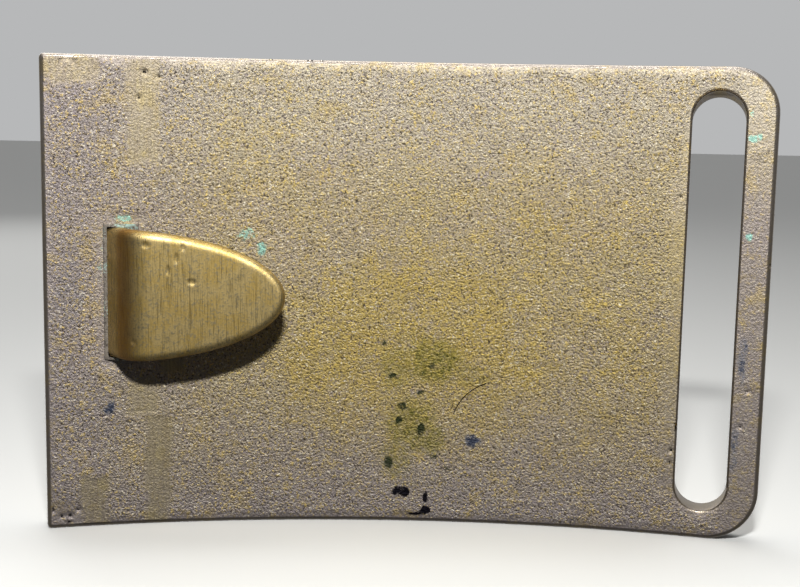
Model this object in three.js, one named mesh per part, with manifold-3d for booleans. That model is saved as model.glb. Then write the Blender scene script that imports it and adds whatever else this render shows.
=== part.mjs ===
// Rectangular cast-brass belt plate: a bowed casting with a long slot for the belt at one
// end, and a wide bent tongue hook let into its back and soldered at the other end.
//
// Frame, millimetres: +X runs along the belt from the hook to the slot, +Z is up as the
// buckle is worn, and -Y is the back, which carries the hook. The bow is concave towards
// the back, so the plate stands on its curved lower edge. The origin is the middle of the
// whole buckle's footprint, on the surface it stands on.
import * as THREE from 'three';
import { mergeVertices } from 'three/addons/utils/BufferGeometryUtils.js';
import Module from 'manifold-3d';

const DEGREE = Math.PI / 180;

// The plate.
const plateLength = 79.3; // along the bowed back face
const plateHeight = 52;
const plateThickness = 3;
const bowRadius = 143; // of the back face
const hookEndCornerRadius = 0.4;
const beltEndCornerRadius = 5;

// The slot that the belt's sewn end goes through, and the bar that it is sewn round.
const slotWidth = 5.6;
const slotEndMargin = 3.25; // from each end of the slot to the plate's long edge
const beltBarWidth = 3.4;

// The tongue hook, a strip of sheet brass bent in one sweep.
const stripThickness = 1.7;
const hookRootWidth = 14.4;
const hookReach = 18.9; // from the root's outer face to the tongue's tip
const hookInset = 6.65; // from the plate's end to the root's outer face
const hookRise = 0.4; // of the hook's centre line above the plate's
const wallLean = 27 * DEGREE; // of the root wall, inwards from square to the plate
const wallLength = 2.6; // straight outer wall below the bend
const bendRadius = 4.5; // outside the bend
const tongueSlope = 7 * DEGREE; // away from the plate, towards the tip
const rootDepth = 0.6; // of the root below the plate's back face

// The solder that holds the root in its channel.
const jointGap = 0.3; // between any two neighbouring pieces
const solderBed = 0.3; // under the root
const solderWall = 1; // along the root's inner face
const solderFillet = 0.9; // height of the fillet above the back face

const cutterReach = 20; // how far a cutting prism runs past the metal on each side
const bowSegments = 40; // along the plate, so that a facet is about 2 mm long
const roundSegments = 24; // for each bend, corner, slot end and tongue outline

const wasm = await Module();
wasm.setup();

// A closed three.js geometry as a solid that can be joined and cut.
function toSolid(geometry) {
  const bare = geometry.clone();
  bare.deleteAttribute('normal');
  bare.deleteAttribute('uv');
  const merged = mergeVertices(bare, 1e-5);
  const mesh = new wasm.Mesh({
    numProp: 3,
    vertProperties: new Float32Array(merged.attributes.position.array),
    triVerts: new Uint32Array(merged.index.array),
  });
  return new wasm.Manifold(mesh);
}

// A solid back as a flat-shaded three.js geometry.
function toGeometry(solid) {
  const { vertProperties, triVerts } = solid.getMesh();
  const indexed = new THREE.BufferGeometry();
  indexed.setAttribute('position', new THREE.BufferAttribute(vertProperties, 3));
  indexed.setIndex(new THREE.BufferAttribute(triVerts, 1));
  const geometry = indexed.toNonIndexed();
  geometry.computeVertexNormals();
  return geometry;
}

// An outline drawn in X and Y, as a prism from z = low to z = high.
function prismAlongZ(outline, low, high) {
  const geometry = new THREE.ExtrudeGeometry(outline, {
    depth: high - low,
    bevelEnabled: false,
    curveSegments: roundSegments,
  });
  geometry.translate(0, 0, low);
  return geometry;
}

// An outline drawn in X and Z, as a prism through the plate, from y = -reach to y = +reach.
function prismThroughPlate(outline, reach) {
  const geometry = prismAlongZ(outline, -reach, reach);
  geometry.rotateX(Math.PI / 2);
  return geometry;
}

// Bow angle at a distance along the back face, counted from the plate's middle.
function bowAngle(along) {
  return along / bowRadius;
}

// The point on the back face at a distance along it, at mid-height.
function pointOnBack(along) {
  const angle = bowAngle(along);
  return new THREE.Vector3(
    bowRadius * Math.sin(angle),
    bowRadius * (Math.cos(angle) - 1),
    0,
  );
}

// Moves a geometry drawn square to the back face to its place along the bow.
function placeOnBow(geometry, along) {
  const point = pointOnBack(along);
  geometry.rotateZ(-bowAngle(along));
  geometry.translate(point.x, point.y, point.z);
  return geometry;
}

// A rectangle with rounded corners, from its lowest corner to its highest.
function roundedRectangle(x0, y0, x1, y1, radius) {
  const shape = new THREE.Shape();
  shape.moveTo(x0 + radius, y0);
  shape.lineTo(x1 - radius, y0);
  shape.absarc(x1 - radius, y0 + radius, radius, -Math.PI / 2, 0, false);
  shape.lineTo(x1, y1 - radius);
  shape.absarc(x1 - radius, y1 - radius, radius, 0, Math.PI / 2, false);
  shape.lineTo(x0 + radius, y1);
  shape.absarc(x0 + radius, y1 - radius, radius, Math.PI / 2, Math.PI, false);
  shape.lineTo(x0, y0 + radius);
  shape.absarc(x0 + radius, y0 + radius, radius, Math.PI, 1.5 * Math.PI, false);
  return shape;
}

// Where things lie along the back face.
const hookEnd = -plateLength / 2;
const beltEnd = plateLength / 2;
const slotCentre = beltEnd - beltBarWidth - slotWidth / 2;
const slotLength = plateHeight - 2 * slotEndMargin;
const hookRoot = hookEnd + hookInset;

// The hook's side view, drawn with x along the back face and y away from the plate.
const rootThickness = stripThickness / Math.cos(wallLean);
const wallTop = new THREE.Vector2(Math.sin(wallLean), Math.cos(wallLean))
  .multiplyScalar(wallLength);
const bendCentre = new THREE.Vector2(Math.cos(wallLean), -Math.sin(wallLean))
  .multiplyScalar(bendRadius)
  .add(wallTop);
const bendStart = Math.PI - wallLean;
const bendFinish = Math.PI / 2 + tongueSlope;

// The channel cut in the back face for the root and its solder.
const channelDepth = rootDepth + jointGap + solderBed + jointGap;
const solderInner = rootThickness + jointGap;
const solderOuter = solderInner + solderWall;

// The bowed casting, with its belt slot and the channel for the hook's root.
function makePlate() {
  const half = bowAngle(plateLength / 2 + cutterReach);
  const sector = new THREE.Shape();
  const middle = Math.PI / 2;
  sector.absarc(0, -bowRadius, bowRadius + plateThickness, middle + half, middle - half, true);
  sector.absarc(0, -bowRadius, bowRadius, middle - half, middle + half, false);
  const slab = new THREE.ExtrudeGeometry(sector, {
    depth: plateHeight + 2 * cutterReach,
    bevelEnabled: false,
    curveSegments: bowSegments,
  });
  slab.translate(0, 0, -plateHeight / 2 - cutterReach);

  const low = -plateHeight / 2;
  const high = plateHeight / 2;
  const far = plateLength + cutterReach;
  const beltOutline = roundedRectangle(-far, low, 0, high, beltEndCornerRadius);
  const hookOutline = roundedRectangle(0, low, far, high, hookEndCornerRadius);
  const beltEndPrism = placeOnBow(prismThroughPlate(beltOutline, far), beltEnd);
  const hookEndPrism = placeOnBow(prismThroughPlate(hookOutline, far), hookEnd);

  const slotOutline = roundedRectangle(
    -slotWidth / 2, -slotLength / 2, slotWidth / 2, slotLength / 2, slotWidth / 2,
  );
  const slot = placeOnBow(prismThroughPlate(slotOutline, cutterReach), slotCentre);

  const channel = new THREE.BoxGeometry(
    solderOuter + 2 * jointGap, cutterReach, hookRootWidth + 2 * jointGap,
  );
  channel.translate(solderOuter / 2, channelDepth - cutterReach / 2, hookRise);
  placeOnBow(channel, hookRoot);

  return toSolid(slab)
    .intersect(toSolid(beltEndPrism))
    .intersect(toSolid(hookEndPrism))
    .subtract(toSolid(slot))
    .subtract(toSolid(channel));
}

// The strip's side view swept across its width, trimmed to the tongue's outline.
function makeHook() {
  const along = new THREE.Vector2(Math.cos(tongueSlope), Math.sin(tongueSlope));
  const across = new THREE.Vector2(-along.y, along.x);
  const outerStart = across.clone().multiplyScalar(bendRadius).add(bendCentre);
  const innerRadius = bendRadius - stripThickness;
  const innerStart = across.clone().multiplyScalar(innerRadius).add(bendCentre);
  const run = (hookReach + stripThickness - outerStart.x) / along.x;
  const tongue = along.clone().multiplyScalar(run);

  const side = new THREE.Shape();
  side.moveTo(0, -rootDepth);
  side.lineTo(rootThickness, -rootDepth);
  side.lineTo(rootThickness, 0);
  side.absarc(bendCentre.x, bendCentre.y, innerRadius, bendStart, bendFinish, true);
  side.lineTo(innerStart.x + tongue.x, innerStart.y + tongue.y);
  side.lineTo(outerStart.x + tongue.x, outerStart.y + tongue.y);
  side.absarc(bendCentre.x, bendCentre.y, bendRadius, bendFinish, bendStart, false);
  side.lineTo(0, 0);
  const strip = prismAlongZ(side, -hookRootWidth, hookRootWidth);

  const plan = new THREE.Shape();
  plan.moveTo(-rootThickness, -hookRootWidth / 2);
  plan.lineTo(0, -hookRootWidth / 2);
  plan.absellipse(0, 0, hookReach, hookRootWidth / 2, -Math.PI / 2, Math.PI / 2, false, 0);
  plan.lineTo(-rootThickness, hookRootWidth / 2);
  const outline = prismThroughPlate(plan, cutterReach);

  return toSolid(strip).intersect(toSolid(outline));
}

// The solder under the root and up its inner face, ending in a fillet.
function makeSolder() {
  const side = new THREE.Shape();
  const bottom = jointGap - channelDepth;
  const filletTop = solderInner + solderFillet * Math.tan(wallLean);
  side.moveTo(0, bottom);
  side.lineTo(solderOuter, bottom);
  side.lineTo(solderOuter, 0);
  side.lineTo(filletTop, solderFillet);
  side.lineTo(solderInner, 0);
  side.lineTo(solderInner, bottom + solderBed);
  side.lineTo(0, bottom + solderBed);
  return toSolid(prismAlongZ(side, -hookRootWidth / 2, hookRootWidth / 2));
}

function namedMesh(name, solid, look) {
  const mesh = new THREE.Mesh(toGeometry(solid), new THREE.MeshStandardMaterial(look));
  mesh.name = name;
  return mesh;
}

const castBrass = { color: 0x8d7442, roughness: 0.55, metalness: 1 };
const filedBrass = { color: 0x9a7a34, roughness: 0.4, metalness: 1 };
const softSolder = { color: 0x8b8f86, roughness: 0.6, metalness: 1 };

// The hook and its solder stand square on the back face at the root. Their side views are
// drawn with y away from the plate, so the group is turned over to face the back.
const hookGroup = new THREE.Group();
hookGroup.add(namedMesh('belt_hook', makeHook(), filedBrass));
hookGroup.add(namedMesh('hook_solder', makeSolder(), softSolder));
hookGroup.rotation.set(Math.PI, 0, 0);

const hookPlace = new THREE.Group();
hookPlace.add(hookGroup);
hookPlace.position.copy(pointOnBack(hookRoot)).setZ(hookRise);
hookPlace.rotation.z = -bowAngle(hookRoot);

const buckle = new THREE.Group();
buckle.add(namedMesh('belt_plate', makePlate(), castBrass));
buckle.add(hookPlace);

// The origin goes under the middle of the whole buckle.
const bounds = new THREE.Box3().setFromObject(buckle, true);
const middle = bounds.getCenter(new THREE.Vector3());
buckle.position.set(-middle.x, -middle.y, -bounds.min.z);

const group = new THREE.Group();
group.add(buckle);

export default group;
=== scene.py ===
"""The looks of an old cast-brass belt plate with a wide tongue hook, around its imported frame.

Every piece is modelled flat or square to the plate in millimetres, and finish_piece() then
turns it to metres and sets it in its place in the frame. The back of the plate faces -Y.
"""
import math

import bmesh
import bpy
from mathutils import Euler, Matrix, Vector, noise


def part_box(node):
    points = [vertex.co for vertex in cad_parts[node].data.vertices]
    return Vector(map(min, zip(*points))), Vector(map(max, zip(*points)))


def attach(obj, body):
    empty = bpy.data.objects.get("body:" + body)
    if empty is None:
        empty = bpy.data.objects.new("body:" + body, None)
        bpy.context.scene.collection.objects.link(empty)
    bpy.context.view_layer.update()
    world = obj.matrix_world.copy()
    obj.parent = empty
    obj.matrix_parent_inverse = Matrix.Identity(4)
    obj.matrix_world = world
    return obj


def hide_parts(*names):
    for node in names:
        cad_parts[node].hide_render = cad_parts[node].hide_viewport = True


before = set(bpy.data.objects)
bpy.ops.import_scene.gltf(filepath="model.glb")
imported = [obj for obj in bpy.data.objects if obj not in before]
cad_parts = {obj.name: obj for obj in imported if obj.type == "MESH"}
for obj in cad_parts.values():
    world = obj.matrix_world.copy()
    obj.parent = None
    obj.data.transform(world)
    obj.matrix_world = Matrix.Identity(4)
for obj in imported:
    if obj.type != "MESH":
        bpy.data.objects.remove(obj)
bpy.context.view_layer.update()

MM = 0.001

# The plate, in millimetres.
PLATE_LENGTH = 79.3  # along the bowed back face
PLATE_THICKNESS = 3.0
BOW_RADIUS = 143.0
HOOK_END_CORNER = 0.5
UPPER_BELT_CORNER = 5.0
LOWER_BELT_CORNER = 5.7  # worn rounder than the upper one
SLOT_WIDTH = 5.6
SLOT_END_MARGIN = 3.25
BELT_BAR_WIDTH = 3.4
SLOT_END_FLARE = 0.4  # how far the slot's ends open out towards the back, on average
SLOT_FLARE_RISE = 0.3  # how much further than that at the upper end, and less at the lower
SLOT_FLARE_DEPTH = 0.9
BACK_EDGE_ROUND = 0.47
FRONT_EDGE_ROUND = 0.45
SLOT_EDGE_ROUND = 0.25
WAVE_HEIGHT, WAVE_SIZE = 0.16, 6.0  # the casting's slow waves
GRAIN_HEIGHT, GRAIN_SIZE = 0.13, 0.5  # and the sand's pebbly grain
PIT_DEPTH = 0.25
SLICE = 1.0  # the plate is cut into squares of this size, so that it bends smoothly
SKIN_CUTS = 3  # each slice of the back is cut again by these, for its cast skin

# The hook.
STRIP_THICKNESS = 1.7
HOOK_ROOT_WIDTH = 14.4
HOOK_REACH = 18.9
HOOK_INSET = 6.65
HOOK_RISE = 0.4
WALL_LEAN = math.radians(27)
WALL_LENGTH = 2.6
BEND_RADIUS = 4.5
TONGUE_SLOPE = math.radians(7)
ROOT_DEPTH = 0.6
ROOT_THICKNESS = STRIP_THICKNESS / math.cos(WALL_LEAN)
TONGUE_OUTER_ROUND = 0.85
TONGUE_INNER_ROUND = 0.4

# The channel for the hook's root, which the solder fills.
CHANNEL_DEPTH = 1.5
CHANNEL_LOW = -0.3
CHANNEL_HIGH = ROOT_THICKNESS + 1.6
CHANNEL_LENGTH = HOOK_ROOT_WIDTH + 0.6
SOLDER_PROUD = 0.06
SOLDER_FILLET = 0.9

plate_low, plate_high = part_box("belt_plate")
PLATE_HEIGHT = (plate_high.z - plate_low.z) / MM
BACK_APEX = Vector((0, plate_high.y - PLATE_THICKNESS * MM, (plate_low.z + plate_high.z) / 2))
HOOK_ROOT = HOOK_INSET - PLATE_LENGTH / 2
SLOT_CENTRE = PLATE_LENGTH / 2 - BELT_BAR_WIDTH - SLOT_WIDTH / 2
SLOT_LENGTH = PLATE_HEIGHT - 2 * SLOT_END_MARGIN

# Marks on the back, each placed by millimetres right of its middle and above its middle.
# Nicks in the rims: place, and the radius of the bite.
RIM_NICKS = (
    (-15.2, 26.1, 0.33), (-10.95, 26.1, 0.42), (-9.7, 26.05, 0.28), (-39.75, 12.6, 0.3),
    (-39.75, -5.2, 0.25), (39.7, 4.9, 0.35), (21.5, -26.1, 0.3), (35.95, -20.1, 0.4),
    (35.93, -7.4, 0.3), (30.4, -13.2, 0.2),
)
# Pin-holes left by the sand: place and half-width.
PITS = (
    (-28.7, 24.3, 0.24), (-27.2, 23.8, 0.2), (-29.3, 21.6, 0.2), (-39.0, -24.0, 0.2),
    (-38.1, -24.6, 0.24), (-37.2, -24.6, 0.26), (-36.3, -24.0, 0.2), (-37.3, -25.4, 0.2),
    (-38.3, 20.6, 0.18), (30.1, -16.2, 0.22), (30.0, -17.6, 0.18), (29.8, 12.0, 0.18),
    (38.0, -9.0, 0.17), (37.3, -13.0, 0.17),
)
# Black crusts: place and half-sizes. The last is the blue-black one.
BLACK_CRUSTS = (
    (-0.1, -22.4, 0.85, 0.48), (0.5, -22.1, 0.35, 0.3), (2.4, -24.5, 0.62, 0.55),
    (2.7, -23.2, 0.4, 0.75), (1.5, -25.1, 0.8, 0.22),
)
BLUE_CRUST = (7.9, -16.4, 0.95, 0.75)
# Verdigris: place, half-sizes and strength.
VERDIGRIS = (
    (3.4, -7.2, 3.6, 3.0, 0.75), (7.4, -8.8, 2.6, 1.6, 0.5), (-0.9, -8.2, 2.4, 3.0, 0.6),
    (0.3, -4.6, 2.6, 1.8, 0.4), (0.9, -14.6, 3.2, 3.6, 0.72), (3.2, -16.2, 1.8, 2.0, 0.7),
    (-0.8, -18.6, 2.4, 2.6, 0.6), (1.5, -21.8, 4.4, 2.4, 0.32), (-2.6, -13.0, 1.8, 3.0, 0.35),
)
# Its darkest grains: place and half-sizes.
DARK_GREEN = (
    (0.0, -12.3, 0.75, 0.55), (-0.6, -14.0, 0.5, 0.5), (2.2, -15.3, 0.6, 0.9),
    (-1.6, -19.2, 0.75, 0.75), (3.3, -18.2, 0.65, 0.3), (4.8, -19.6, 0.4, 0.4),
    (2.9, -7.6, 0.4, 0.35), (1.4, -9.9, 0.3, 0.3), (-1.3, -9.0, 0.5, 0.4),
    (1.9, -10.9, 0.45, 0.3), (-2.4, -5.1, 0.4, 0.5),
)
# Turquoise stains beside the hook and along the belt bar: place, half-sizes and strength.
TURQUOISE = (
    (-31.0, 8.2, 1.5, 0.5, 0.9), (-17.6, 6.7, 1.4, 0.8, 0.8), (-16.0, 5.1, 0.8, 1.1, 0.95),
    (-14.6, 3.2, 0.6, 1.0, 0.5), (-25.2, 8.0, 1.3, 0.5, 0.4), (-33.5, 3.6, 0.35, 3.4, 0.65),
    (-33.4, -3.2, 0.3, 3.0, 0.5),
    (36.7, 20.9, 0.45, 0.5, 0.8), (37.2, 18.7, 0.75, 0.6, 1.0), (36.7, 15.5, 0.4, 2.4, 0.4),
    (37.0, 11.5, 0.4, 2.6, 0.35), (37.1, 8.0, 0.5, 0.55, 1.0),
)
# Slate-grey stains on the belt bar and round the hook, listed in the same way.
SLATE = (
    (36.4, 13.0, 0.5, 6.5, 0.45), (37.2, -5.6, 0.6, 3.2, 0.8), (36.8, -15.5, 0.5, 3.4, 0.75),
    (37.8, 13.0, 0.4, 3.0, 0.5),
    (-27.4, 11.8, 2.2, 3.0, 0.45), (-36.8, 0.5, 2.2, 5.5, 0.5), (-32.8, -12.4, 0.7, 0.6, 1.0),
    (-29.0, -8.8, 2.8, 1.6, 0.3),
)
# Where the tarnish is thin and the brass shows golden.
GOLDEN = (
    (1.5, -7.0, 19.0, 14.0, 0.85), (-16.0, 20.0, 11.0, 5.5, 0.5), (15.0, 9.0, 14.0, 7.0, 0.55),
    (-34.9, 7.2, 2.6, 2.0, 0.8), (-32.2, -10.2, 4.0, 1.6, 0.6), (-21.0, -16.0, 5.0, 4.0, 0.5),
    (22.0, -10.0, 9.0, 14.0, 0.6), (-3.0, -20.0, 9.0, 5.0, 0.45),
)
# Stretches filed smooth: left, right, bottom and top.
FILED_BANDS = (
    (-30.6, -27.3, 14.5, 26.3), (-40.0, -33.6, 22.9, 26.3), (-28.9, -26.1, -26.3, -13.6),
    (-30.6, -27.6, -13.4, -9.4), (-27.2, -24.6, -8.6, -5.0), (-36.0, -33.0, -26.3, -20.4),
)
# Stretches rubbed smooth by the belt and by handling.
RUBBED_BANDS = (
    (29.0, 31.4, -21.0, 15.0), (35.6, 40.0, 17.0, 26.3), (35.6, 40.0, -26.3, -8.0),
    (-40.0, -35.0, -26.3, -23.2), (35.6, 40.0, -8.0, 17.0),
)
# A thin curved scratch beside the verdigris: centre, radius, left and right end.
SCRATCH = (11.16, -15.1, 5.78, 5.7, 9.3)
# A crescent-shaped dent near the upper corner: centre, radius and half-width.
CRESCENT = (-36.8, 24.7, 0.8, 0.3)
# Dents in the tongue, by millimetres along and up the hook: place and half-sizes.
HOOK_DENTS = (
    (4.1, 5.6, 0.35, 0.3), (8.9, 1.7, 0.4, 0.3), (2.8, -4.9, 0.25, 0.25), (7.3, 4.2, 0.2, 0.5),
    (6.4, 2.9, 0.18, 0.45), (8.0, 5.4, 0.2, 0.35),
)


# ---------------------------------------------------------------- modelling helpers

def deselect():
    if bpy.context.object and bpy.context.object.mode != "OBJECT":
        bpy.ops.object.mode_set(mode="OBJECT")
    bpy.ops.object.select_all(action="DESELECT")


def add_primitive(name, kind, scale=(1, 1, 1), **settings):
    """Adds a mesh primitive at its size and place, as the only selected object."""
    deselect()
    getattr(bpy.ops.mesh, f"primitive_{kind}_add")(**settings)
    piece = bpy.context.object
    piece.scale = scale
    piece.name = name
    piece.data.name = name
    bpy.ops.object.transform_apply(location=True, rotation=True, scale=True)
    return piece


def pick(piece, kind, test):
    """In edit mode, selects just the vertices, edges or faces that pass the test."""
    bpy.ops.mesh.select_mode(type={"verts": "VERT", "edges": "EDGE", "faces": "FACE"}[kind])
    bpy.ops.mesh.select_all(action="DESELECT")
    mesh = bmesh.from_edit_mesh(piece.data)
    for element in getattr(mesh, kind):
        if test(element):
            element.select_set(True)
    mesh.select_flush_mode()
    bmesh.update_edit_mesh(piece.data)


def edge_turn(edge):
    """The angle between an edge's two faces, in degrees."""
    return math.degrees(edge.calc_face_angle(0))


def ends_near(edge, axis, place, slack=1e-3):
    return all(abs(vertex.co[axis] - place) < slack for vertex in edge.verts)


def apply_modifier(piece, name, kind, **settings):
    modifier = piece.modifiers.new(name, kind)
    for key, value in settings.items():
        setattr(modifier, key, value)
    bpy.context.view_layer.objects.active = piece
    bpy.ops.object.modifier_apply(modifier=modifier.name)


def cut_away(piece, cutter, operation="DIFFERENCE"):
    apply_modifier(piece, "cut", "BOOLEAN", operation=operation, solver="EXACT", object=cutter)
    bpy.data.objects.remove(cutter)


def slice_evenly(piece, axis, low, high, step):
    """Bisects the whole piece by planes a step apart, which gives it rows to bend."""
    normal = [0, 0, 0]
    normal[axis] = 1
    count = round((high - low) / step)
    for number in range(1, count):
        point = [0, 0, 0]
        point[axis] = low + (high - low) * number / count
        bpy.ops.mesh.select_all(action="SELECT")
        bpy.ops.mesh.bisect(plane_co=point, plane_no=normal, threshold=1e-4)


def weight_group(piece, name, weight):
    """A vertex group whose weights come from each vertex's place."""
    group = piece.vertex_groups.new(name=name)
    for vertex in piece.data.vertices:
        value = weight(vertex)
        if value > 0:
            group.add([vertex.index], value, "REPLACE")
    return group.name


def displace(piece, name, strength, size, group="", depth=2):
    """Raises and sinks the surface by a cloudy texture. Sizes are in millimetres."""
    texture = bpy.data.textures.new(name, "CLOUDS")
    texture.noise_scale = size
    texture.noise_depth = depth
    apply_modifier(
        piece, name, "DISPLACE", texture=texture, texture_coords="LOCAL",
        strength=strength, mid_level=0.5, vertex_group=group,
    )


def sink(piece, name, depth, weight):
    """Presses the surface in by a depth where the weight is 1."""
    group = weight_group(piece, name, weight)
    apply_modifier(piece, name, "DISPLACE", strength=-depth, mid_level=0, vertex_group=group)


def ease(value, low, high):
    """0 below low, 1 above high and smooth between them."""
    t = min(1, max(0, (value - low) / (high - low)))
    return t * t * (3 - 2 * t)


def spot(x, z, right, up, half_width, half_height, soft=0.5):
    """1 inside an ellipse and 0 outside it, with a soft edge."""
    across, along = (x - right) / half_width, (z - up) / half_height
    if abs(across) > 1 + soft or abs(along) > 1 + soft:
        return 0
    away = math.hypot(across, along)
    return 1 - ease(away, 1 - soft, 1 + soft)


def band(x, z, left, right, low, high, soft=0.45):
    """1 inside a rectangle and 0 outside it, with a soft edge."""
    return ease(min(x - left, right - x), -soft, soft) * ease(min(z - low, high - z), -soft, soft)


RAGGED_SEED = 7
noise.seed_set(RAGGED_SEED)  # so that every run gives the marks the same outlines


def wander(x, z):
    """Moves a point about, so that a mark worked out at the moved point has a ragged outline."""
    place = Vector((x, 0, z))
    step = 0.5 * noise.noise_vector(place / 2.2) + 0.3 * noise.noise_vector(place / 0.7)
    return x + step.x, z + step.z


def write_marks(piece, marks):
    """Stores each mark's strength at each vertex, as an attribute that the material reads."""
    for name, strength in marks.items():
        values = [strength(vertex.co) for vertex in piece.data.vertices]
        attribute = piece.data.attributes.new(name, "FLOAT", "POINT")
        attribute.data.foreach_set("value", values)


def finish_piece(piece, place, *materials, angle=40):
    """Millimetres to metres, into place in the frame, shaded and given its materials."""
    deselect()
    piece.select_set(True)
    bpy.context.view_layer.objects.active = piece
    piece.matrix_world = place @ Matrix.Scale(MM, 4)
    bpy.ops.object.transform_apply(location=True, rotation=True, scale=True)
    bpy.ops.object.shade_smooth_by_angle(angle=math.radians(angle))
    piece.data.materials.clear()
    for material in materials:
        piece.data.materials.append(material)


# ---------------------------------------------------------------- node helpers

COLOURS = {"output": 2, "data_type": "RGBA"}
SOFT_STEP = {"interpolation_type": "SMOOTHSTEP"}


def colour(code):
    """An sRGB hex colour as linear values."""
    def linear(byte):
        c = byte / 255
        return c / 12.92 if c <= 0.04045 else ((c + 0.055) / 1.055) ** 2.4
    return tuple(linear(int(code[i:i + 2], 16)) for i in (0, 2, 4)) + (1.0,)


def add(tree, kind, inputs, output=0, **settings):
    """Adds one node, sets it, links or fills its inputs, and returns one of its outputs."""
    node = tree.nodes.new("ShaderNode" + kind)
    for key, value in settings.items():
        setattr(node, key, value)
    for key, value in inputs.items():
        if isinstance(value, bpy.types.NodeSocket):
            tree.links.new(value, node.inputs[key])
        else:
            node.inputs[key].default_value = value
    return node.outputs[output]


def new_material(name):
    """A material with just its shader, and Object coordinates in millimetres."""
    material = bpy.data.materials.new(name)
    material.use_nodes = True
    tree = material.node_tree
    tree.nodes.clear()
    shader = tree.nodes.new("ShaderNodeBsdfPrincipled")
    output = tree.nodes.new("ShaderNodeOutputMaterial")
    tree.links.new(shader.outputs[0], output.inputs["Surface"])
    place = add(tree, "TexCoord", {}, "Object")
    place = add(tree, "VectorMath", {0: place, "Scale": 1 / MM}, operation="SCALE")
    return material, tree, shader, place


def thin_arc(tree, place, right, up, radius, left, far):
    """1 on the upper part of a thin ring on the back face, between two places across it."""
    level = PLATE_HEIGHT / 2 + up
    flat = add(tree, "VectorMath", {0: place, 1: (1, 0, 1)}, operation="MULTIPLY")
    away = add(tree, "VectorMath", {0: flat, 1: (right, 0, level)}, 1, operation="DISTANCE")
    off_line = add(tree, "Math", {0: away, 1: radius, 2: 0.06}, operation="COMPARE")
    x = add(tree, "SeparateXYZ", {0: place}, 0)
    middle = (left + far) / 2
    inside = add(tree, "Math", {0: x, 1: middle, 2: (far - left) / 2}, operation="COMPARE")
    z = add(tree, "SeparateXYZ", {0: place}, 2)
    above = add(tree, "Math", {0: z, 1: level}, operation="GREATER_THAN")
    inside = add(tree, "Math", {0: inside, 1: above}, operation="MULTIPLY")
    return add(tree, "Math", {0: off_line, 1: inside}, operation="MULTIPLY")


def lay_colours(tree, base, *layers):
    """Lays colours over a base one by one, each by an amount from 0 to 1."""
    for amount, code in layers:
        base = add(tree, "Mix", {0: amount, 6: base, 7: colour(code)}, **COLOURS)
    return base


# ---------------------------------------------------------------- materials

GRIT = 0.24  # the sand's grain, drawn a little coarse so that it shows
FLECK = 0.3  # one speck of bare or tarnished metal
DAPPLE = 2.4  # patches of thicker and thinner tarnish
CRUST = 0.5  # one grain of a corrosion crust
CLOUD = 11.0  # slow changes of tone over the whole face
FILE_LINE = 0.2  # from one file mark to the next

MARKS = (
    "mauve_tarnish_and_reflection", "golden", "smooth", "filed", "verdigris", "dark_green", "turquoise", "slate", "black",
)


# Stains, and the darkened pin-holes, in the order they lie: the mark, where it starts and is full,
# its strength and colour.
STAIN_LAYERS = (
    ("slate", 0.18, 0.5, 0.75, "6F7480"), ("slate", 0.38, 0.5, 0.9, "333A4C"),
    ("verdigris", 0.12, 0.5, 0.8, "857B30"), ("verdigris", 0.36, 0.5, 0.85, "2C3518"),
    ("dark_green", 0.25, 0.5, 0.9, "1D2A1C"), ("turquoise", 0.3, 0.5, 0.85, "8FC0B2"),
    ("black", 0.2, 0.4, 1.0, "121016"),
)


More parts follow.
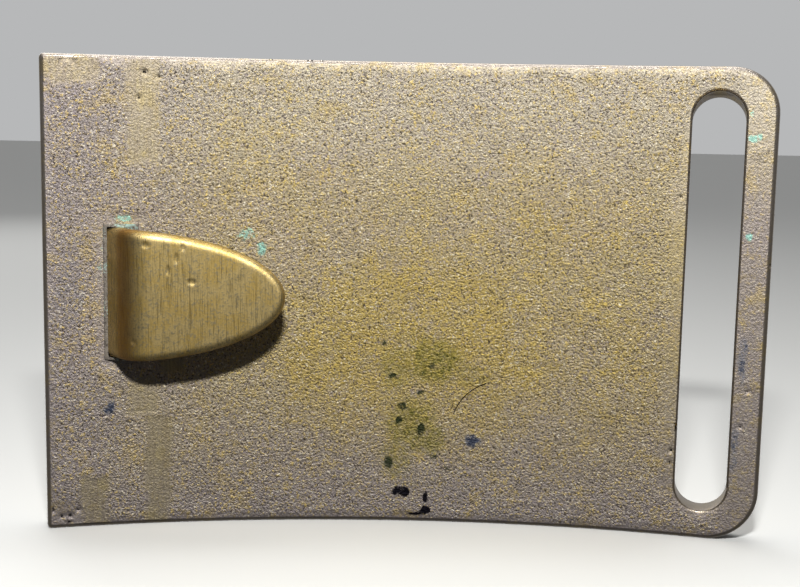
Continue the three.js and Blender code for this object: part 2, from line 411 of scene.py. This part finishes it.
def sand_cast_brass():
    """Sand-cast brass, never polished: a pebbly skin, dull gold under tarnish, with a painted grey
    sheen at the top and a mauve that is partly a painted reflection.
    """
    material, tree, shader, place = new_material("sand_cast_brass")
    marks = {
        name: add(tree, "Attribute", {}, 2, attribute_name=name)
        for name in MARKS
    }
    z = add(tree, "SeparateXYZ", {0: place}, 2)

    clouds = add(tree, "TexNoise", {"Vector": place, "Scale": 1 / CLOUD, "Detail": 4.0})
    dapple = add(
        tree, "TexNoise", {"Vector": place, "Scale": 1 / DAPPLE, "Detail": 4.0, "Roughness": 0.7},
    )
    grit = add(
        tree, "TexNoise", {"Vector": place, "Scale": 1 / GRIT, "Detail": 2.0, "Roughness": 0.6},
    )
    flecks = add(
        tree, "TexNoise", {"Vector": place, "Scale": 1 / FLECK, "Detail": 3.0, "Roughness": 0.7},
        1,
    )
    yellow_flecks = add(tree, "SeparateColor", {0: flecks}, 0)
    pale_flecks = add(tree, "SeparateColor", {0: flecks}, 1)
    mauve_flecks = add(tree, "SeparateColor", {0: flecks}, 2)
    stretched = add(tree, "Mapping", {"Vector": place, "Scale": (1, 1, 0.05)})
    file_lines = add(
        tree, "TexNoise", {"Vector": stretched, "Scale": 1 / FILE_LINE, "Detail": 2.0},
    )

    # Golden in the middle; greyer at the top as a painted sheen; mauve at the left and bottom, partly
    # tarnish and partly a painted reflection.
    painted_top_sheen = add(tree, "MapRange", {0: z, 1: 33.0, 2: 50.0, 4: 0.75}, **SOFT_STEP)
    golden = add(tree, "Math", {0: marks["golden"], 1: dapple}, operation="MULTIPLY")
    rough_skin = add(tree, "MapRange", {0: marks["smooth"], 3: 1.0, 4: 0.12})

    tone = lay_colours(
        tree, colour("A1947B"),
        (add(tree, "MapRange", {0: clouds, 1: 0.4, 2: 0.6, 4: 0.6}, **SOFT_STEP), "A5966C"),
        (add(tree, "MapRange", {0: golden, 1: 0.15, 2: 0.5}, **SOFT_STEP), "AB9759"),
        # a painted sheen: greyer towards the top
        (painted_top_sheen, "ACA495"),
        # mauve, partly tarnish and partly a painted reflection
        (marks["mauve_tarnish_and_reflection"], "928986"),
        (add(tree, "MapRange", {0: dapple, 1: 0.5, 2: 0.68, 4: 0.45}, **SOFT_STEP), "B09A5E"),
    )
    speckled = lay_colours(
        tree, tone,
        (add(tree, "MapRange", {0: mauve_flecks, 1: 0.52, 2: 0.66, 4: 0.7}, **SOFT_STEP), "857A80"),
        (add(tree, "MapRange", {0: yellow_flecks, 1: 0.52, 2: 0.66, 4: 0.62}, **SOFT_STEP), "D2B75E"),
        (add(tree, "MapRange", {0: pale_flecks, 1: 0.55, 2: 0.68, 4: 0.75}, **SOFT_STEP), "D8D0BC"),
        (add(tree, "MapRange", {0: grit, 1: 0.46, 2: 0.3, 4: 0.95}, **SOFT_STEP), "4A4036"),
    )
    base = add(tree, "Mix", {0: rough_skin, 6: tone, 7: speckled}, **COLOURS)
    lines = add(tree, "MapRange", {0: file_lines, 1: 0.35, 2: 0.65}, **SOFT_STEP)
    filed = lay_colours(tree, colour("8E8060"), (lines, "A69974"))
    bare = add(tree, "Math", {0: marks["filed"], 1: dapple}, operation="MULTIPLY")
    base = add(tree, "Mix", {0: bare, 6: base, 7: filed}, **COLOURS)

    # Stains keep to the hollows of the skin, so their edges are ragged.
    ragged = add(
        tree, "TexNoise", {"Vector": place, "Scale": 1 / CRUST, "Detail": 4.0, "Roughness": 0.75},
    )
    stains = []
    for name, start, full, strength, code in STAIN_LAYERS:
        stain = add(tree, "Math", {0: marks[name], 1: ragged}, operation="MULTIPLY")
        amounts = {0: stain, 1: start, 2: full, 4: strength}
        stains.append((add(tree, "MapRange", amounts, **SOFT_STEP), code))
    base = lay_colours(tree, base, *stains, (thin_arc(tree, place, *SCRATCH), "241C1A"))

    tree.links.new(base, shader.inputs["Base Color"])
    shader.inputs["Metallic"].default_value = 0.9
    roughness = add(tree, "MapRange", {0: marks["smooth"], 1: 0.6, 2: 1.0, 3: 0.62, 4: 0.36})
    tree.links.new(roughness, shader.inputs["Roughness"])

    height = add(tree, "Math", {0: yellow_flecks, 1: 0.8, 2: grit}, operation="MULTIPLY_ADD")
    height = add(tree, "Math", {0: height, 1: rough_skin}, operation="MULTIPLY")
    furrows = add(tree, "Math", {0: file_lines, 1: marks["filed"]}, operation="MULTIPLY")
    height = add(tree, "Math", {0: furrows, 1: 0.4, 2: height}, operation="MULTIPLY_ADD")
    bump = add(tree, "Bump", {"Height": height, "Strength": 1.0, "Distance": 0.17 * MM})
    tree.links.new(bump, shader.inputs["Normal"])
    return material


def worn_front_brass():
    """The show face and its rims: brass rubbed smooth by wear, with a thin brown tarnish."""
    material, tree, shader, place = new_material("worn_front_brass")
    clouds = add(tree, "TexNoise", {"Vector": place, "Scale": 1 / CLOUD, "Detail": 5.0})
    fine = add(tree, "TexNoise", {"Vector": place, "Scale": 1 / FLECK, "Detail": 5.0})
    base = lay_colours(
        tree, colour("A98C52"),
        (add(tree, "MapRange", {0: clouds, 1: 0.4, 2: 0.66, 4: 0.6}, **SOFT_STEP), "977F52"),
        (add(tree, "MapRange", {0: fine, 1: 0.5, 2: 0.7, 4: 0.5}, **SOFT_STEP), "BFA462"),
        (add(tree, "MapRange", {0: fine, 1: 0.42, 2: 0.3, 4: 0.6}, **SOFT_STEP), "5C4A35"),
    )
    tree.links.new(base, shader.inputs["Base Color"])
    shader.inputs["Metallic"].default_value = 1.0
    roughness = add(tree, "MapRange", {0: clouds, 1: 0.3, 2: 0.7, 3: 0.34, 4: 0.5})
    tree.links.new(roughness, shader.inputs["Roughness"])
    bump = add(tree, "Bump", {"Height": fine, "Strength": 1.0, "Distance": 0.02 * MM})
    tree.links.new(bump, shader.inputs["Normal"])
    return material


def filed_strip_brass():
    """Sheet brass filed across the strip, so fine lines run up and down the tongue."""
    material, tree, shader, place = new_material("filed_strip_brass")
    stretched = add(tree, "Mapping", {"Vector": place, "Scale": (1.6, 1.6, 0.06)})
    lines = add(
        tree, "TexNoise",
        {"Vector": stretched, "Scale": 1 / FILE_LINE, "Detail": 3.0, "Roughness": 0.75},
    )
    broad = add(tree, "TexNoise", {"Vector": place, "Scale": 1 / DAPPLE, "Detail": 4.0})
    fine = add(tree, "TexNoise", {"Vector": place, "Scale": 1 / GRIT, "Detail": 3.0})
    # Painted shade: a darker orange-brown band laid along the first half of the bend.
    painted_bend_shade = add(tree, "Attribute", {}, 2, attribute_name="painted_bend_shade")
    base = lay_colours(
        tree, colour("CAB278"),
        (add(tree, "MapRange", {0: broad, 1: 0.4, 2: 0.62, 4: 0.6}, **SOFT_STEP), "A88C44"),
        (add(tree, "MapRange", {0: lines, 1: 0.5, 2: 0.36, 4: 0.6}, **SOFT_STEP), "5F5132"),
        (add(tree, "MapRange", {0: lines, 1: 0.55, 2: 0.68, 4: 0.6}, **SOFT_STEP), "CDB272"),
        (add(tree, "MapRange", {0: fine, 1: 0.5, 2: 0.66, 4: 0.6}, **SOFT_STEP), "8A8470"),
        (add(tree, "Math", {0: painted_bend_shade, 1: 0.6}, operation="MULTIPLY"), "96672A"),
    )
    tree.links.new(base, shader.inputs["Base Color"])
    shader.inputs["Metallic"].default_value = 1.0
    roughness = add(tree, "MapRange", {0: broad, 1: 0.3, 2: 0.7, 3: 0.45, 4: 0.55})
    tree.links.new(roughness, shader.inputs["Roughness"])
    height = add(tree, "Math", {0: fine, 1: 0.4, 2: lines}, operation="MULTIPLY_ADD")
    bump = add(tree, "Bump", {"Height": height, "Strength": 1.0, "Distance": 0.025 * MM})
    tree.links.new(bump, shader.inputs["Normal"])
    return material


def crusted_solder():
    """Soft solder, dull grey-brown with tarnish, flecked by a turquoise crust from the flux."""
    material, tree, shader, place = new_material("crusted_solder")
    crust = add(
        tree, "TexNoise", {"Vector": place, "Scale": 1 / FLECK, "Detail": 4.0, "Roughness": 0.7},
    )
    broad = add(tree, "TexNoise", {"Vector": place, "Scale": 1 / DAPPLE, "Detail": 3.0})
    crusted = add(tree, "Math", {0: crust, 1: broad}, operation="MULTIPLY")
    base = lay_colours(
        tree, colour("8B8378"),
        (add(tree, "MapRange", {0: crust, 1: 0.5, 2: 0.36, 4: 0.8}, **SOFT_STEP), "554C44"),
        (add(tree, "MapRange", {0: crusted, 1: 0.27, 2: 0.36, 4: 0.8}, **SOFT_STEP), "A9C6BC"),
    )
    tree.links.new(base, shader.inputs["Base Color"])
    shader.inputs["Metallic"].default_value = 0.7
    shader.inputs["Roughness"].default_value = 0.7
    bump = add(tree, "Bump", {"Height": crust, "Strength": 1.0, "Distance": 0.06 * MM})
    tree.links.new(bump, shader.inputs["Normal"])
    return material


def pale_paper():
    """Matt studio paper for the floor."""
    material, tree, shader, _ = new_material("pale_paper")
    shader.inputs["Base Color"].default_value = colour("BEBEBB")
    shader.inputs["Roughness"].default_value = 0.9
    return material


# ---------------------------------------------------------------- the plate

def make_slot_cutter():
    """A round-ended slot whose ends open out towards the back."""
    beyond = 2.0
    depth = PLATE_THICKNESS - SLOT_FLARE_DEPTH + beyond
    cutter = add_primitive(
        "slot_cutter", "cube", size=1, scale=(SLOT_WIDTH, depth, SLOT_LENGTH),
        location=(SLOT_CENTRE, SLOT_FLARE_DEPTH + depth / 2, 0),
    )
    bpy.ops.object.mode_set(mode="EDIT")
    pick(cutter, "edges", lambda e: abs(e.verts[0].co.y - e.verts[1].co.y) > depth / 2)
    bpy.ops.mesh.bevel(offset=SLOT_WIDTH / 2 - 0.002, segments=14, affect="EDGES")
    pick(cutter, "faces", lambda f: f.normal.y < -0.9)
    flare = (SLOT_LENGTH + 2 * SLOT_END_FLARE) / SLOT_LENGTH
    bpy.ops.mesh.extrude_region_move(
        TRANSFORM_OT_translate={"value": (0, -SLOT_FLARE_DEPTH, 0)},
    )
    bpy.ops.transform.resize(value=(1, 1, flare))
    bpy.ops.transform.translate(value=(0, 0, SLOT_FLARE_RISE))
    bpy.ops.mesh.extrude_region_move(TRANSFORM_OT_translate={"value": (0, -beyond, 0)})
    bpy.ops.object.mode_set(mode="OBJECT")
    return cutter


def rim_distance(x, z):
    """How far a point of the flat back face is from its nearest rim, in millimetres."""
    half_length, half_height = PLATE_LENGTH / 2, PLATE_HEIGHT / 2
    corner = UPPER_BELT_CORNER if z > 0 else LOWER_BELT_CORNER
    outer = min(half_length - abs(x), half_height - abs(z))
    corner_x = x - (half_length - corner)
    corner_z = abs(z) - (half_height - corner)
    if corner_x > 0 and corner_z > 0:
        outer = corner - math.hypot(corner_x, corner_z)
    straight = SLOT_LENGTH / 2 + SLOT_END_FLARE - SLOT_WIDTH / 2
    slot = math.hypot(x - SLOT_CENTRE, max(0, abs(z - SLOT_FLARE_RISE) - straight)) - SLOT_WIDTH / 2
    channel_x = abs(x - HOOK_ROOT - (CHANNEL_LOW + CHANNEL_HIGH) / 2)
    channel = max(
        channel_x - (CHANNEL_HIGH - CHANNEL_LOW) / 2, abs(z - HOOK_RISE) - CHANNEL_LENGTH / 2,
    )
    return min(outer, slot, channel)


def round_rims(plate):
    """Rounds the outer rims of both faces."""
    bpy.ops.object.mode_set(mode="EDIT")
    for depth, width in ((0, BACK_EDGE_ROUND), (PLATE_THICKNESS, FRONT_EDGE_ROUND)):
        pick(plate, "edges", lambda e: ends_near(e, 1, depth) and edge_turn(e) > 20)
        bpy.ops.mesh.bevel(offset=width, segments=4, affect="EDGES", clamp_overlap=True)
    bpy.ops.object.mode_set(mode="OBJECT")


def round_slot(plate):
    """Takes the sharpness off the slot's edges on both faces."""
    reach = SLOT_LENGTH / 2 + SLOT_END_FLARE + 0.5
    bpy.ops.object.mode_set(mode="EDIT")
    for depth in (0, PLATE_THICKNESS):
        pick(
            plate, "edges",
            lambda e: ends_near(e, 1, depth) and edge_turn(e) > 20
            and all(
                abs(v.co.x - SLOT_CENTRE) < SLOT_WIDTH / 2 + 0.1 and abs(v.co.z) < reach
                for v in e.verts
            ),
        )
        bpy.ops.mesh.bevel(offset=SLOT_EDGE_ROUND, segments=3, affect="EDGES")
    bpy.ops.object.mode_set(mode="OBJECT")


def filed(x, z):
    return max(band(x, z, *edges) for edges in FILED_BANDS)


def smooth(x, z):
    """How smooth a point is: most where it was filed or rubbed, and near the rims, which are 1."""
    rubbed = max(band(x, z, *edges, 1.2) for edges in RUBBED_BANDS)
    return 0.6 * max(filed(x, z), rubbed, 1 - ease(rim_distance(x, z), 0.3, 1.3))


def mauve_tarnish_and_reflection(x, z):
    """How mauve the back is, partly tarnish and partly a painted reflection: towards the hook's end,
    the bottom and the belt bar.
    """
    bar = 0.85 * ease(x, 34.5, 36.5) * ease(-z, -22, -8)
    return max(ease(-x, 16, 40), ease(-z, 6, 28), bar)


def crescent(x, z):
    right, up, radius, half_width = CRESCENT
    away = math.hypot(x - right, z - up)
    return ease(z, up - 0.2, up + 0.4) * (1 - ease(abs(away - radius), 0, half_width))


def pits(x, z):
    return max(spot(x, z, right, up, size, size) for right, up, size in PITS)


def strongest(x, z, patches):
    return max(patch[4] * spot(x, z, *patch[:4]) for patch in patches)


def make_casting(back, front):
    """The bowed plate, its slot and its rounded rims, with the skin of a sand casting."""
    plate = add_primitive(
        "plate_casting", "cube", size=1, location=(0, PLATE_THICKNESS / 2, 0),
        scale=(PLATE_LENGTH, PLATE_THICKNESS, PLATE_HEIGHT),
    )
    bpy.ops.object.mode_set(mode="EDIT")
    for end, top, radius, segments in (
        (1, 1, UPPER_BELT_CORNER, 14), (1, -1, LOWER_BELT_CORNER, 14),
        (-1, 1, HOOK_END_CORNER, 4), (-1, -1, HOOK_END_CORNER, 4),
    ):
        pick(
            plate, "edges",
            lambda e: ends_near(e, 0, end * PLATE_LENGTH / 2)
            and ends_near(e, 2, top * PLATE_HEIGHT / 2),
        )
        bpy.ops.mesh.bevel(offset=radius, segments=segments, affect="EDGES")
    bpy.ops.object.mode_set(mode="OBJECT")
    round_rims(plate)
    cut_away(plate, make_slot_cutter())
    channel = add_primitive(
        "channel_cutter", "cube", size=1,
        location=(HOOK_ROOT + (CHANNEL_LOW + CHANNEL_HIGH) / 2, 0, HOOK_RISE),
        scale=(CHANNEL_HIGH - CHANNEL_LOW, 2 * CHANNEL_DEPTH, CHANNEL_LENGTH),
    )
    cut_away(plate, channel)
    for right, up, bite in RIM_NICKS:
        nick = add_primitive(
            "nick_cutter", "ico_sphere", subdivisions=2, radius=bite, location=(right, 0.1, up),
        )
        cut_away(plate, nick)
    round_slot(plate)
    bpy.ops.object.mode_set(mode="EDIT")
    slice_evenly(plate, 0, -PLATE_LENGTH / 2, PLATE_LENGTH / 2, SLICE)
    slice_evenly(plate, 2, -PLATE_HEIGHT / 2, PLATE_HEIGHT / 2, SLICE)
    pick(
        plate, "faces",
        lambda f: f.normal.y < -0.99 and abs(f.calc_center_median().y) < 1e-3
        and len(f.verts) == 4,
    )
    bpy.ops.mesh.subdivide(number_cuts=SKIN_CUTS)
    bpy.ops.object.mode_set(mode="OBJECT")

    def on_back(test, on_rims=0):
        return lambda place: test(*wander(place.x, place.z)) if place.y < 0.01 else on_rims

    def black(place):
        ragged = on_back(lambda x, z: max(spot(x, z, *mark) for mark in BLACK_CRUSTS))
        # The pin-holes are darkened nearly to black as well.
        return max(ragged(place), 0.9 * pits(place.x, place.z) * (place.y < 0.3))

    def skin_weight(place):
        off_rim = ease(rim_distance(place.x, place.z), 0.3, 1.6)
        return off_rim * (1 - 1.25 * smooth(place.x, place.z)) if place.y < 0.01 else 0

    write_marks(plate, {
        # The mauve is partly a painted reflection, and the rims take some of it too.
        "mauve_tarnish_and_reflection": on_back(mauve_tarnish_and_reflection, on_rims=0.6),
        "golden": on_back(lambda x, z: strongest(x, z, GOLDEN)),
        "filed": on_back(filed),
        "smooth": on_back(smooth, on_rims=1),
        "verdigris": on_back(lambda x, z: strongest(x, z, VERDIGRIS)),
        "dark_green": on_back(lambda x, z: max(spot(x, z, *mark) for mark in DARK_GREEN)),
        "turquoise": on_back(lambda x, z: strongest(x, z, TURQUOISE)),
        "slate": on_back(lambda x, z: max(strongest(x, z, SLATE), spot(x, z, *BLUE_CRUST))),
        "black": black,
    })
    skin = weight_group(plate, "cast_skin", lambda vertex: skin_weight(vertex.co))
    displace(plate, "casting_waves", WAVE_HEIGHT, WAVE_SIZE, skin, depth=1)
    displace(plate, "casting_grain", GRAIN_HEIGHT, GRAIN_SIZE, skin, depth=2)

    def hole(vertex):
        x, y, z = vertex.co
        return max(pits(x, z), 0.5 * crescent(x, z)) if y < 0.3 else 0

    sink(plate, "pin_holes", PIT_DEPTH, hole)
    apply_modifier(
        plate, "bow", "SIMPLE_DEFORM", deform_method="BEND", deform_axis="Z",
        angle=-PLATE_LENGTH / BOW_RADIUS,
    )
    finish_piece(plate, Matrix.Translation(BACK_APEX), back, front)
    for face in plate.data.polygons:
        face.material_index = 1 if face.normal.y > 0.3 else 0
    return plate


# ---------------------------------------------------------------- the hook

def hook_place():
    """The hook's own frame: x along the back face, -y away from it, at the root's face."""
    angle = HOOK_ROOT / BOW_RADIUS
    root = BACK_APEX + MM * Vector((
        BOW_RADIUS * math.sin(angle), BOW_RADIUS * (math.cos(angle) - 1), HOOK_RISE,
    ))
    return Matrix.Translation(root) @ Matrix.Rotation(-angle, 4, "Z")


WALL = Vector((math.sin(WALL_LEAN), -math.cos(WALL_LEAN), 0))
INWARD = Vector((math.cos(WALL_LEAN), math.sin(WALL_LEAN), 0))
TONGUE = Vector((math.cos(TONGUE_SLOPE), -math.sin(TONGUE_SLOPE), 0))
OUTWARD = Vector((-math.sin(TONGUE_SLOPE), -math.cos(TONGUE_SLOPE), 0))
WALL_TOP = WALL * WALL_LENGTH
BEND_CENTRE = WALL_TOP + INWARD * BEND_RADIUS
BEND = math.pi / 2 - WALL_LEAN - TONGUE_SLOPE


def depth_in_strip(point):
    """How far a point of the strip is below its outer face, in millimetres."""
    flat = Vector((point.x, point.y, 0))
    if (flat - WALL_TOP).dot(WALL) < 0:
        return flat.dot(INWARD)
    away = flat - BEND_CENTRE
    if away.dot(TONGUE) > 0:
        return BEND_RADIUS - away.dot(OUTWARD)
    return BEND_RADIUS - away.length


def make_strip(name):
    """The strip is drawn up from its root, spun round the bend and drawn out to its tip."""
    length = WALL_LENGTH + ROOT_DEPTH
    start = WALL * -ROOT_DEPTH + INWARD * STRIP_THICKNESS / 2
    strip = add_primitive(
        name, "plane", size=1, location=start, scale=(STRIP_THICKNESS, HOOK_ROOT_WIDTH + 2, 1),
        rotation=Euler((math.pi / 2, 0, WALL_LEAN)),
    )
    bpy.ops.object.mode_set(mode="EDIT")
    bpy.ops.mesh.select_all(action="SELECT")
    bpy.ops.mesh.extrude_region_move(TRANSFORM_OT_translate={"value": WALL * length})
    bpy.ops.mesh.spin(steps=10, angle=-BEND, center=BEND_CENTRE, axis=(0, 0, 1))
    bpy.ops.mesh.extrude_region_move(TRANSFORM_OT_translate={"value": TONGUE * HOOK_REACH})
    bpy.ops.mesh.select_all(action="SELECT")
    bpy.ops.mesh.normals_make_consistent(inside=False)
    bpy.ops.object.mode_set(mode="OBJECT")
    outline = add_primitive(
        "tongue_outline", "cylinder", vertices=120, radius=1, depth=40,
        rotation=(math.pi / 2, 0, 0), scale=(HOOK_REACH, HOOK_ROOT_WIDTH / 2, 1),
    )
    cut_away(strip, outline, "INTERSECT")
    return strip


def make_hook(brass):
    """The tongue hook, its edges rounded and its faces filed."""
    hook = make_strip("tongue_hook")
    bpy.ops.object.mode_set(mode="EDIT")
    bpy.ops.mesh.select_all(action="SELECT")
    bpy.ops.mesh.remove_doubles(threshold=0.04)
    for depth, width in ((0, TONGUE_OUTER_ROUND), (STRIP_THICKNESS, TONGUE_INNER_ROUND)):
        pick(
            hook, "edges",
            lambda e: edge_turn(e) > 50
            and all(abs(depth_in_strip(v.co) - depth) < 0.06 for v in e.verts)
            and not all((v.co - WALL * -ROOT_DEPTH).dot(WALL) < 0.05 for v in e.verts),
        )
        bpy.ops.mesh.bevel(offset=width, segments=5, affect="EDGES", clamp_overlap=False)
    bpy.ops.object.mode_set(mode="OBJECT")
    apply_modifier(hook, "even_skin", "REMESH", mode="VOXEL", voxel_size=0.13)
    apply_modifier(hook, "worn", "SMOOTH", factor=0.5, iterations=4)

    def dents(vertex):
        x, z = vertex.co.x, vertex.co.z
        if depth_in_strip(vertex.co) > 0.6:
            return 0
        return max(spot(x, z, *dent) for dent in HOOK_DENTS)

    sink(hook, "dents", 0.06, dents)
    # The painted shade along the bend, strongest just past the top of the wall.
    write_marks(hook, {
        "painted_bend_shade": lambda place: ease((place - WALL_TOP).dot(WALL), -0.7, 0.5)
        * (1 - ease((place - WALL_TOP).dot(WALL), 1.2, 3.0)),
    })
    finish_piece(hook, hook_place(), brass, angle=60)
    return hook


def make_solder(metal):
    """Solder that fills the channel round the root and runs up the root in a fillet."""
    solder = add_primitive(
        "root_solder", "cube", size=1,
        location=((CHANNEL_LOW + CHANNEL_HIGH) / 2, (CHANNEL_DEPTH - SOLDER_PROUD) / 2, 0),
        scale=(CHANNEL_HIGH - CHANNEL_LOW, CHANNEL_DEPTH + SOLDER_PROUD, CHANNEL_LENGTH),
    )
    bpy.ops.object.mode_set(mode="EDIT")
    bpy.ops.mesh.select_all(action="SELECT")
    bpy.ops.mesh.bisect(plane_co=(ROOT_THICKNESS, 0, 0), plane_no=(1, 0, 0), threshold=1e-4)
    pick(
        solder, "edges",
        lambda e: ends_near(e, 0, ROOT_THICKNESS) and ends_near(e, 1, -SOLDER_PROUD),
    )
    bpy.ops.transform.translate(value=(0, -SOLDER_FILLET, 0))
    bpy.ops.object.mode_set(mode="OBJECT")
    apply_modifier(solder, "even_skin", "REMESH", mode="VOXEL", voxel_size=0.1)
    apply_modifier(solder, "run_edges", "SMOOTH", factor=0.5, iterations=4)
    displace(solder, "solder_lumps", 0.12, 0.9, depth=1)
    cut_away(solder, make_strip("root_copy"))
    finish_piece(solder, hook_place(), metal, angle=60)
    return solder


# ---------------------------------------------------------------- camera, light and stage

CAMERA_PLACE = (0.1, -140.2, 19.6)  # from the middle of the back, in millimetres
CAMERA_DIP, CAMERA_LEAN, CAMERA_TURN = 7.79, 1.15, 0.30  # down, over and round, in degrees
LENS = 56.78


def make_camera():
    """Close in front of the back, a little above it and looking slightly down."""
    data = bpy.data.cameras.new("camera")
    data.sensor_width = 36
    data.lens = LENS
    data.clip_start = 0.005
    camera = bpy.data.objects.new("camera", data)
    bpy.context.collection.objects.link(camera)
    camera.location = BACK_APEX + MM * Vector(CAMERA_PLACE)
    turn = (
        Matrix.Rotation(math.radians(-CAMERA_DIP), 4, "X")
        @ Matrix.Rotation(math.radians(-CAMERA_LEAN), 4, "Y")
        @ Matrix.Rotation(math.radians(CAMERA_TURN), 4, "Z")
        @ Matrix.Rotation(math.radians(90), 4, "X")
    )
    camera.rotation_euler = turn.to_euler()
    bpy.context.scene.camera = camera


def add_light(name, place, size, energy):
    """A rectangular soft light, placed in millimetres from the plate and turned to it."""
    data = bpy.data.lights.new(name, "AREA")
    data.shape = "RECTANGLE"
    data.size, data.size_y = size[0] * MM, size[1] * MM
    data.energy = energy
    light = bpy.data.objects.new(name, data)
    bpy.context.collection.objects.link(light)
    light.location = BACK_APEX + MM * Vector(place)
    light.rotation_euler = (BACK_APEX - light.location).to_track_quat("-Z", "Y").to_euler()


def make_stage():
    """A pale floor, a lamp above the camera, soft light from above and a pale wall behind."""
    floor = add_primitive("pale_floor", "plane", size=4)
    floor.data.materials.append(pale_paper())
    floor.visible_diffuse = False  # so that it throws no light up into the shadows
    floor.visible_glossy = False
    world = bpy.data.worlds.new("studio")
    bpy.context.scene.world = world
    world.use_nodes = True
    tree = world.node_tree
    away = add(tree, "TexCoord", {}, "Generated")
    behind = add(tree, "SeparateXYZ", {0: away}, 1)
    pale = add(tree, "MapRange", {0: behind, 1: -0.1, 2: 0.6}, **SOFT_STEP)
    shade = add(tree, "Mix", {0: pale, 6: colour("46474B"), 7: colour("B7B8B9")}, **COLOURS)
    tree.links.new(shade, tree.nodes["Background"].inputs[0])
    sky = bpy.data.lights.new("soft_sky", "SUN")
    sky.energy = 0.85
    sky.angle = math.radians(40)
    light = bpy.data.objects.new("soft_sky", sky)
    bpy.context.collection.objects.link(light)
    light.rotation_euler = (math.radians(-25), 0, 0)
    add_light("lamp_above_camera", (0, -140, 112), (22, 10), 0.56)
    add_light("strip_overhead", (0, 25, 230), (260, 60), 0.25)
    add_light("soft_box_behind", (-160, 330, 190), (220, 220), 0.35)
    bpy.context.scene.view_settings.view_transform = "Standard"


make_camera()
make_stage()
casting = make_casting(sand_cast_brass(), worn_front_brass())
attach(casting, "root")
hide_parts("belt_plate")
hook = make_hook(filed_strip_brass())
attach(hook, "root")
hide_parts("belt_hook")
solder = make_solder(crusted_solder())
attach(solder, "root")
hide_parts("hook_solder")
